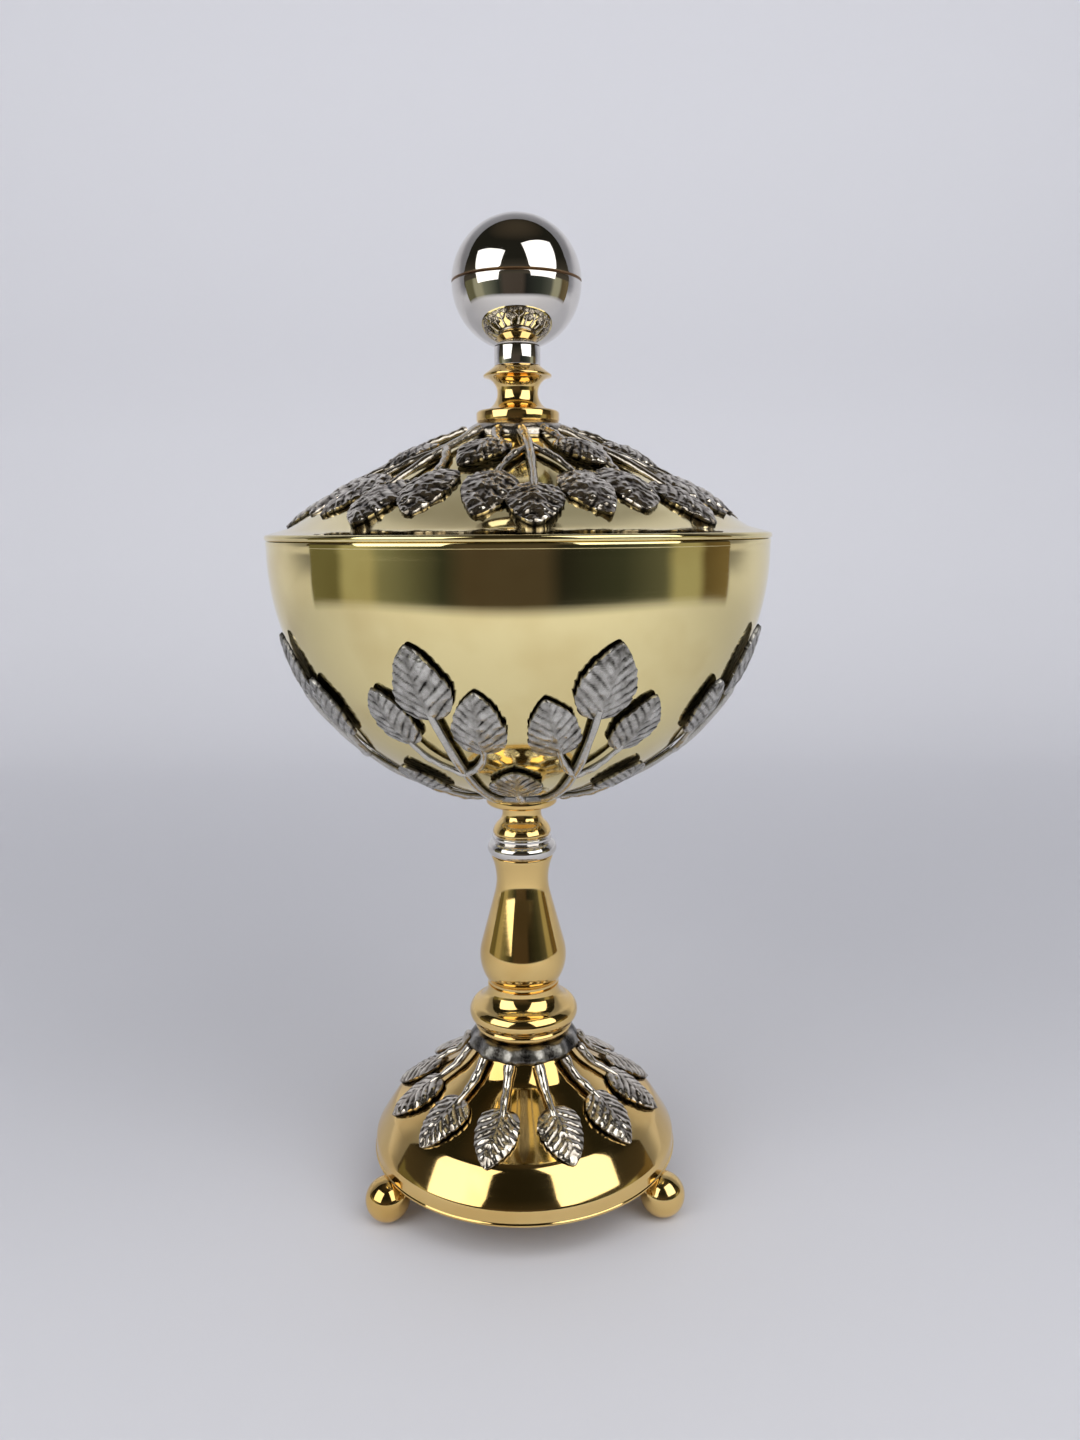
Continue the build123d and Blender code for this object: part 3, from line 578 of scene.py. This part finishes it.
for i in range(8):
    spray(f"bowl_spray_cast_{i + 1}", bowlSpray, i + 1, 22.5 + 45 * i, "cup",
          f"bowl_spray_{i + 1}", 11 + i)
    spray(f"lid_spray_cast_{i + 1}", lidSpray, i + 1, 3.5 + 45 * i, "lid",
          f"lid_spray_{i + 1}", 31 + i)
print("sprays made")


ringCut = {"stalk": (2.2, 1.9), "intoLeaf": 2.5, "plateTone": 0.45, "plateSteps": 72}


def leafRing(name, look, body, node, seed):
    rnd = random.Random(seed)
    bm, raised = startCasting()
    for i in range(8):
        before = set(bm.verts)
        free = (rnd.uniform(-1, 1), look["leafY"], rnd.uniform(-1, 1) * look["stray"])
        x, y, lean = look["posed"].get(i, free)
        line = ((0, look["root"]), (0, (look["root"] + y) / 2), (x, y + ringCut["intoLeaf"]))
        rod(bm, raised, look, line, ringCut["stalk"], look["stemLift"], rnd)
        blade(bm, raised, look, look["small"], (x, y), lean, rnd)
        closeEnds(bm)
        turnTo(bm, [v for v in bm.verts if v not in before], look["start"] + 45 * i)
    toMetres(bm)
    # the dished plate that holds them, bored for the rod through the middle
    ring = []
    for r, z in look["plate"] + look["plate"][:1]:
        ring.append(bmesh.ops.extrude_vert_indiv(bm, verts=[ring[-1]])["verts"][0] if ring
                    else bm.verts.new())
        ring[-1].co = (r * mm, 0, z * mm)
        ring[-1][raised] = ringCut["plateTone"]
    edges = [e for e in bm.edges if e.verts[0] in ring and e.verts[1] in ring]
    bmesh.ops.spin(bm, geom=ring + edges, cent=(0, 0, 0), axis=(0, 0, 1), angle=2 * pi,
                   steps=ringCut["plateSteps"], use_merge=True)
    bmesh.ops.remove_doubles(bm, verts=bm.verts[:], dist=0.001 * mm)
    finishPiece(bm, name, [look["metal"]], body, [node], sharpFrom["cast"])


bowlRing = {
    **bowlCast, "lift": 1.2, "stemLift": (-0.1, 0.6), "wrinkle": 0.2, "small": (15, 12.6),
    "leafY": -24, "start": 0, "stray": 6, "posed": {}, "plate": [
        (boltBore, 109.9), (9.9, 109.9), (14, 111.15), (14, 112.3), (9, 111.6), (boltBore, 111.6)]}
leafRing("bowl_ring_cast", bowlRing, "cup", "bowl_leaf_ring", 51)

lidRing = {
    **lidCast, "lift": 1.4, "stemLift": (0.6, 1.2), "bow": 0.6, "small": (15, 11.6),
    "leafY": -16, "start": 26, "stray": 22, "posed": {5: (4, -15.9, -26), 6: (-0.2, -16.6, 25)},
    "plate": [(studBore, 203.75), (9, 203.75), (14, 201.9), (14, 203.2), (11.5, 204.9),
              (10.4, 205.46), (studBore, 205.46)]}
leafRing("lid_ring_cast", lidRing, "lid", "lid_leaf_ring", 52)
print("leaf rings made")


# lean and shift in degrees for the ones that stand a little off their place; the shift is
# measured round the axis at shiftAt
baseLeaf = {"lie": onBase, "size": (16.0, 11.7), "root": -12, "lift": 0.9, "crown": 0.8,
            "bow": 0.3, "puff": 0.3, "wrinkle": 0.2, "tone": 0.4, "vein": 0.44, "rub": 1.5,
            "start": 15, "stalk": (2.9, 1.8), "stalkLift": (0.3, 0.5), "shiftAt": 25,
            "shift": {7: -1, 8: 0.5, 9: 2.5, 10: 2, 11: 6, 12: 6},
            "lean": {8: -4, 9: -7, 10: 9, 11: -6, 12: -6}}

for i in range(12):
    rnd = random.Random(71 + i)
    bm, raised = startCasting()
    lean = baseLeaf["lean"].get(i + 1, rnd.uniform(-5, 5))
    x = radians(baseLeaf["shift"].get(i + 1, rnd.uniform(-2, 2))) * baseLeaf["shiftAt"]
    line = ((0, baseLeaf["root"]), (x * 0.4 + rnd.uniform(-0.5, 0.5), -4), (x, 3))
    rod(bm, raised, baseLeaf, line, baseLeaf["stalk"], baseLeaf["stalkLift"], rnd)
    blade(bm, raised, baseLeaf, baseLeaf["size"], (x, 0), lean, rnd)
    closeEnds(bm)
    toMetres(bm)
    turnTo(bm, bm.verts[:], baseLeaf["start"] + 30 * i)
    finishPiece(bm, f"base_leaf_cast_{i + 1}", [coarseSilver], "cup",
                [f"base_leaf_{i + 1}"], sharpFrom["cast"])
print("base leaves made")


# Fasteners and the sleeve in the ball stay as the CAD gives them
for node in ("tie_bolt", "tie_nut", "tie_washer", "finial_stud", "finial_nut", "finial_washer",
             "ball_sleeve"):
    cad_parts[node].data.materials.clear()
    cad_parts[node].data.materials.append(steel)


# Stage: pale paper sweep, two soft panels leaning over the table and a dim room behind the
# camera. From here on lengths are in metres.

stageLook = {"paper": "#D4D4D9", "fibreMm": 1.2, "fibreDepthMm": 0.05, "flatTo": 0.5,
             "curve": 0.35, "curveSteps": 24, "wall": 2.3, "front": -2.0, "half": 3.5}

paper, tree, shader = newMaterial("paper_matt_backdrop")
coords = addNode(tree, "ShaderNodeTexCoord")
fibre = addNode(tree, "ShaderNodeTexNoise", inputs={
    "Vector": coords.outputs["Object"], "Detail": 2.0,
    "Scale": 1 / (stageLook["fibreMm"] * mm)})  # one fibre
grainBump = addNode(tree, "ShaderNodeBump", inputs={
    "Height": fibre.outputs["Fac"], "Strength": 0.03, "Distance": stageLook["fibreDepthMm"] * mm})
tree.links.new(grainBump.outputs["Normal"], shader.inputs["Normal"])
shader.inputs["Base Color"].default_value = toLinear(stageLook["paper"])
shader.inputs["Roughness"].default_value = 0.95
shader.inputs["Specular IOR Level"].default_value = 0.1

bm = bmesh.new()
last = bm.verts.new((-stageLook["half"], stageLook["front"], 0))
last = bmesh.ops.extrude_vert_indiv(bm, verts=[last])["verts"][0]
last.co.y = stageLook["flatTo"]
bend = bmesh.ops.spin(bm, geom=[last], axis=(1, 0, 0), angle=pi / 2, steps=stageLook["curveSteps"],
                      cent=(-stageLook["half"], stageLook["flatTo"], stageLook["curve"]))
last = vertsOf(bend["geom_last"])[0]
last = bmesh.ops.extrude_vert_indiv(bm, verts=[last])["verts"][0]
last.co.z = stageLook["wall"]
wide = bmesh.ops.extrude_edge_only(bm, edges=bm.edges[:])
bmesh.ops.translate(bm, verts=vertsOf(wide["geom"]), vec=(2 * stageLook["half"], 0, 0))
sweep = toObject(bm, "paper_sweep", [paper])
sweep.data.shade_smooth()

# A glowing card that only mirrors see paints the reflection of what lies beyond the edge of the
# table: a dim floor and the foot of the walls behind it, lighter to both sides. Tones are by
# bearing in degrees from the camera's side. The near edge fades out, and runs straighter than a
# circle, as a table's does.
roomTones = {"low": "#4A443A", "high": "#23221C", "overhead": "#443C30"}
paintedFloorReflection = {"from": 0.36, "fade": 0.1, "to": 2.4, "up": 0.4, "height": 0.003, "turn": (-101, 103),
            "steps": 96, "stretch": 0.55, "stretchTo": 2.3, "tones": {
    -101: "#6C6A50", -84: "#66644A", -79: "#A4A288", -66: "#A4A288", -60: "#7C7E6C",
    -32: "#363A33", -22: "#4E463E", 10: "#4A423A", 18: "#242522", 44: "#363A33", 64: "#585A50",
    70: "#A09E84", 82: "#A09E84", 87: "#5E523A", 103: "#74664A"}}

dim, tree, shader = newMaterial("painted_reflection_of_dim_floor")
coords = addNode(tree, "ShaderNodeTexCoord")
split = addNode(tree, "ShaderNodeSeparateXYZ", inputs={"Vector": coords.outputs["Object"]})
behind = addNode(tree, "ShaderNodeMath", {"operation": "MULTIPLY"},
                 {0: split.outputs["Y"], 1: -1.0})
bearing = addNode(tree, "ShaderNodeMath", {"operation": "ARCTAN2"},
                  {0: split.outputs["X"], 1: behind.outputs["Value"]})
spread = addNode(tree, "ShaderNodeMapRange", inputs={
    "Value": bearing.outputs["Value"], "From Min": -pi, "From Max": pi})
tones = [(0.5 + angle / 360, tone) for angle, tone in paintedFloorReflection["tones"].items()]
tones = addRamp(tree, spread.outputs["Result"],
                [(0.0, roomTones["low"])] + tones + [(1.0, roomTones["low"])])
shade = addNode(tree, "ShaderNodeAttribute", {"attribute_name": "shade"})
tree.links.new(tones.outputs["Color"], shader.inputs["Emission Color"])
tree.links.new(shade.outputs["Fac"], shader.inputs["Alpha"])
shader.inputs["Emission Strength"].default_value = 1.0
shader.inputs["Base Color"].default_value = (0, 0, 0, 1)
shader.inputs["Specular IOR Level"].default_value = 0.0

bm = bmesh.new()
shadeLayer = bm.verts.layers.float.new("shade")
edge = [bm.verts.new((0, -paintedFloorReflection["from"], paintedFloorReflection["height"]))]
for y, z in ((paintedFloorReflection["from"] + paintedFloorReflection["fade"], paintedFloorReflection["height"]),
             (paintedFloorReflection["to"], paintedFloorReflection["height"]), (paintedFloorReflection["to"], paintedFloorReflection["up"])):
    edge += bmesh.ops.extrude_vert_indiv(bm, verts=edge[-1:])["verts"]
    edge[-1].co = (0, -y, z)
    edge[-1][shadeLayer] = 1.0
turnTo(bm, edge, paintedFloorReflection["turn"][0])
bmesh.ops.spin(bm, geom=edge + bm.edges[:], cent=(0, 0, 0), axis=(0, 0, 1),
               steps=paintedFloorReflection["steps"], angle=radians(paintedFloorReflection["turn"][1] - paintedFloorReflection["turn"][0]))
for vert in bm.verts:
    if vert.co.xy.length < paintedFloorReflection["stretchTo"]:
        vert.co.xy *= 1 + paintedFloorReflection["stretch"] * (1 - cos(atan2(vert.co.x, -vert.co.y)))
card = toObject(bm, "dim_floor_painted_reflection", [dim])
# hidden from the camera, from diffuse light and from shadows, the card's glow shows only as
# painted reflection in the metal
card.visible_camera = card.visible_diffuse = False
card.visible_shadow = card.visible_transmission = False

# Soft light for the paper; mirrors see the room instead, which is darkest over the lamps
sky = {"colour": "#E6E8EE", "strength": 0.46, "room": [
    (0.1, roomTones["low"]), (0.5, roomTones["high"]), (0.86, roomTones["high"]),
    (1.0, roomTones["overhead"])]}

world = bpy.data.worlds.new("studio")
bpy.context.scene.world = world
world.use_nodes = True
tree = world.node_tree
tree.nodes.clear()
ray = addNode(tree, "ShaderNodeLightPath")
soft = addNode(tree, "ShaderNodeBackground", inputs={
    "Color": toLinear(sky["colour"]), "Strength": sky["strength"]})
coords = addNode(tree, "ShaderNodeTexCoord")
skyward = addNode(tree, "ShaderNodeSeparateXYZ", inputs={"Vector": coords.outputs["Generated"]})
dusk = addRamp(tree, skyward.outputs["Z"], sky["room"])
room = addNode(tree, "ShaderNodeBackground", inputs={
    "Color": dusk.outputs["Color"], "Strength": 1.0})
pick = addNode(tree, "ShaderNodeMixShader", inputs={
    0: ray.outputs["Is Glossy Ray"], 1: soft.outputs["Background"], 2: room.outputs["Background"]})
addNode(tree, "ShaderNodeOutputWorld", inputs={"Surface": pick.outputs["Shader"]})

lightPanels = {  # middle, aim, width and height in metres, watts, spread in degrees
    "panel_left": ((-0.643, -0.490, 0.496), (0.627, 0.578, -0.522), 0.713, 0.765, 3.35, 180),
    "panel_right": ((0.510, -0.433, 0.621), (-0.585, 0.652, -0.484), 0.719, 0.821, 3.7, 180),
    "wall_wash": ((0, 0.1, 1.3), (0, 0.75, -0.85), 2.4, 0.3, 2.8, 74),
    "front_fill": ((0, -0.5, 1.0), (0, -0.1, -1), 0.8, 0.4, 1.0, 80),
    "side_fill_left": ((-0.9, 0.1, 1.0), (-0.6, 0.2, -0.75), 0.5, 0.8, 2.6, 110),
    "side_fill_right": ((0.9, 0.1, 1.0), (0.6, 0.2, -0.75), 0.5, 0.8, 2.6, 110)}
for name, (middle, aim, wide, tall, watts, spread) in lightPanels.items():
    light = bpy.data.lights.new(name, "AREA")
    light.shape = "RECTANGLE"
    light.size, light.size_y = wide, tall
    light.energy, light.spread = watts, radians(spread)
    lamp = bpy.data.objects.new(name, light)
    lamp.location = middle
    lamp.rotation_euler = Vector(aim).to_track_quat("-Z", "Y").to_euler()
    lamp.visible_camera = False
    lamp.visible_glossy = name.startswith("panel")  # the others only light the paper
    bpy.context.scene.collection.objects.link(lamp)

# lens and sensor in millimetres, angles in degrees
viewfinder = {"place": (0, -0.2807, 0.1798), "lens": 27.05, "sensor": 36, "near": 0.01,
              "turn": -1.03, "dip": 10.10, "roll": -0.38}
camera = bpy.data.cameras.new("camera")
camera.lens, camera.sensor_width = viewfinder["lens"], viewfinder["sensor"]
camera.clip_start = viewfinder["near"]
cameraObject = bpy.data.objects.new("camera", camera)
cameraObject.location = viewfinder["place"]
cameraObject.rotation_euler = (Matrix.Rotation(radians(viewfinder["turn"]), 3, "Z")
                               @ Matrix.Rotation(radians(90 - viewfinder["dip"]), 3, "X")
                               @ Matrix.Rotation(radians(viewfinder["roll"]), 3, "Z")).to_euler()
bpy.context.scene.collection.objects.link(cameraObject)
bpy.context.scene.camera = cameraObject
bpy.context.scene.view_settings.view_transform = "Standard"
print("stage, light and camera set")
